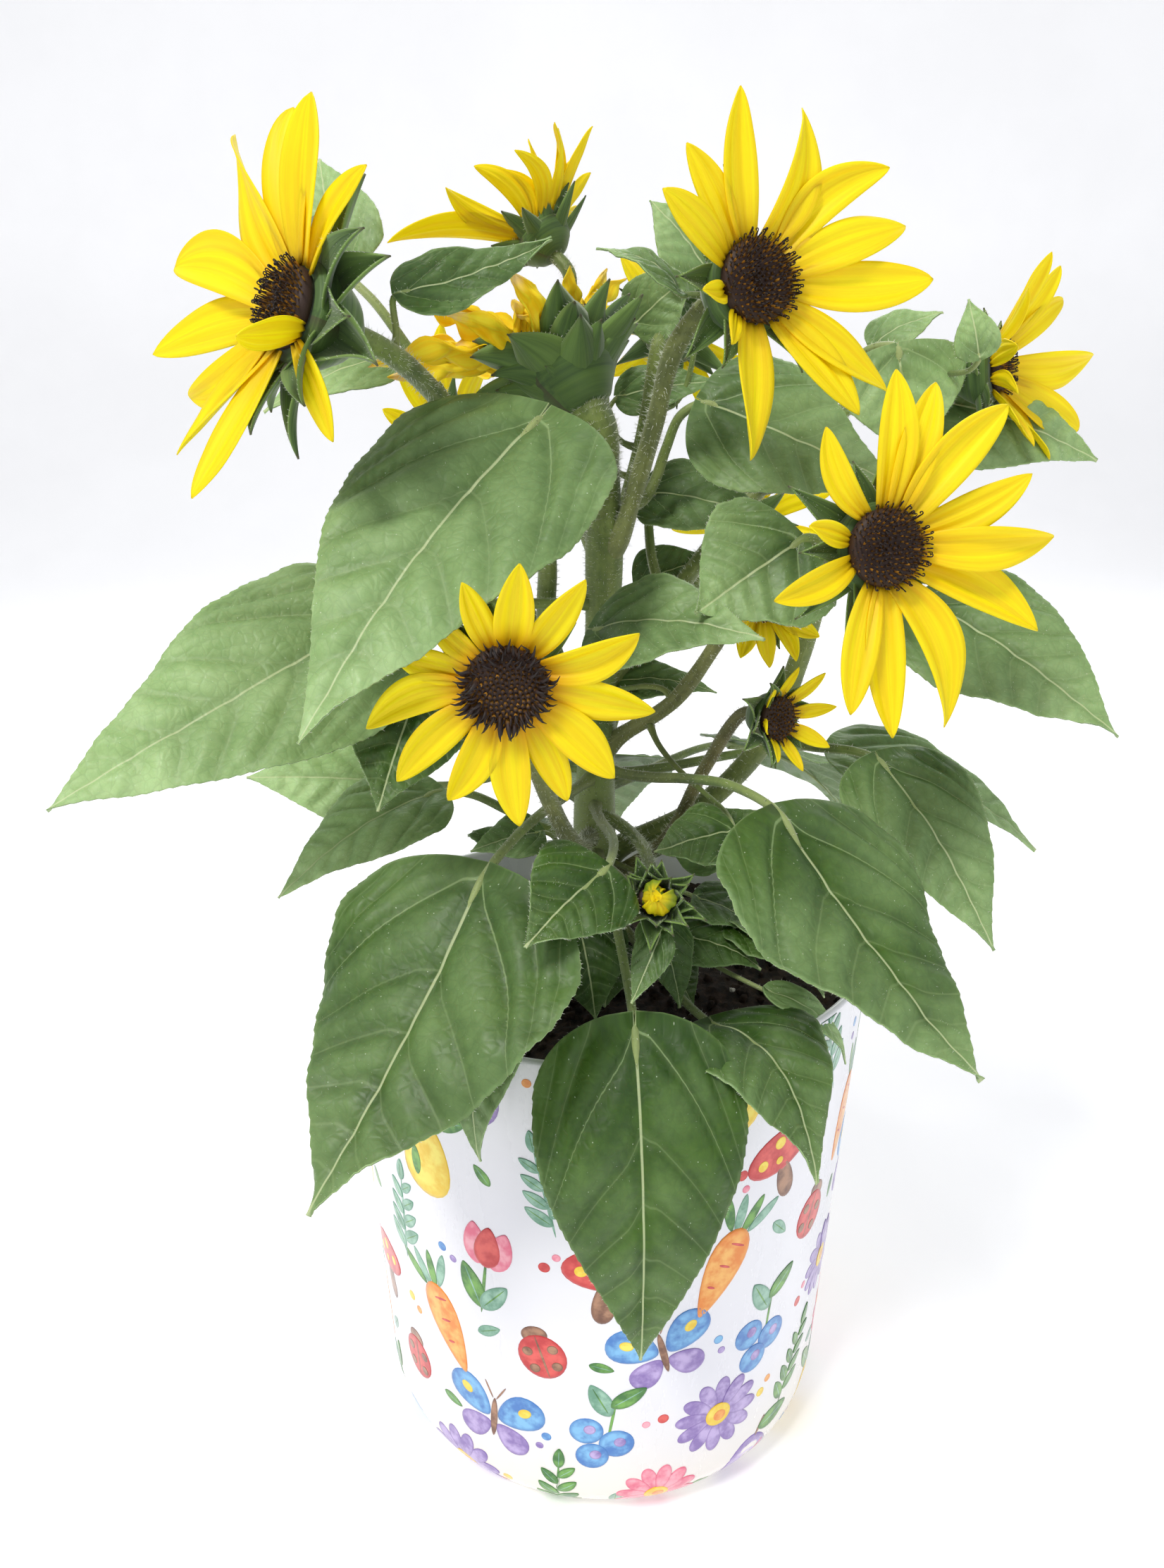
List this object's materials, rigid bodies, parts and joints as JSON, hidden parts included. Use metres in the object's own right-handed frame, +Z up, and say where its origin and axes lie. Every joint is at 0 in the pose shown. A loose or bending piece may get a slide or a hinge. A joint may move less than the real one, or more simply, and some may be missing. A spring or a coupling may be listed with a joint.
{
  "type": "potted sunflower plant",
  "caption": "Branching dwarf sunflower plant with open, rear-facing and budding flower heads and broad heart-shaped leaves, growing in a round-footed white pot with a printed pattern.",
  "frame": {"origin": "centre of the flat underside of the pot", "axes": "+Z up, -Y towards the side that the picture shows, +X to the right of that view"},
  "size_m": [0.3436, 0.3069, 0.479],
  "materials": {
    "pot": "gloss",
    "soil": "matt",
    "stem": "matt",
    "leaf": "satin",
    "petal": "satin",
    "petal_faded": "matt",
    "disc": "matt"
  },
  "bodies": {
    "root": {"bloom_bud": "petal", "bloom_fading": "petal_faded", "bloom_far_right": "petal", "bloom_front_left": "petal", "bloom_half_open": "petal", "bloom_middle": "petal", "bloom_rear_left": "petal", "bloom_rear_middle": "petal", "bloom_rear_right": "petal", "bloom_right": "petal", "bloom_upper_left": "petal", "bloom_upper_rear": "petal", "bloom_upper_right": "petal", "disc_far_right": "disc", "disc_front_left": "disc", "disc_middle": "disc", "disc_rear_left": "disc", "disc_rear_right": "disc", "disc_right": "disc", "disc_upper_left": "disc", "disc_upper_right": "disc", "leaf_front": "leaf", "leaf_front_left": "leaf", "leaf_front_right": "leaf", "leaf_front_small": "leaf", "leaf_left_broad": "leaf", "leaf_left_dark": "leaf", "leaf_left_long": "leaf", "leaf_left_low": "leaf", "leaf_left_pale": "leaf", "leaf_middle_right": "leaf", "leaf_rear_left_high": "leaf", "leaf_rear_left_low": "leaf", "leaf_rear_low": "leaf", "leaf_rear_right_behind": "leaf", "leaf_rear_right_low": "leaf", "leaf_right_behind": "leaf", "leaf_right_folded": "leaf", "leaf_right_high": "leaf", "leaf_right_long": "leaf", "leaf_right_round": "leaf", "leaf_right_tip": "leaf", "leaf_rim_front_right": "leaf", "leaf_rim_right": "leaf", "main_stem": "stem", "pot": "pot", "shoot_bud": "stem", "shoot_far_right": "stem", "shoot_front_left": "stem", "shoot_half_open": "stem", "shoot_middle": "stem", "shoot_rear_left": "stem", "shoot_rear_middle": "stem", "shoot_rear_right": "stem", "shoot_right": "stem", "shoot_upper_left": "stem", "shoot_upper_rear": "stem", "shoot_upper_right": "stem", "soil": "soil"}
  },
  "joints": []
}
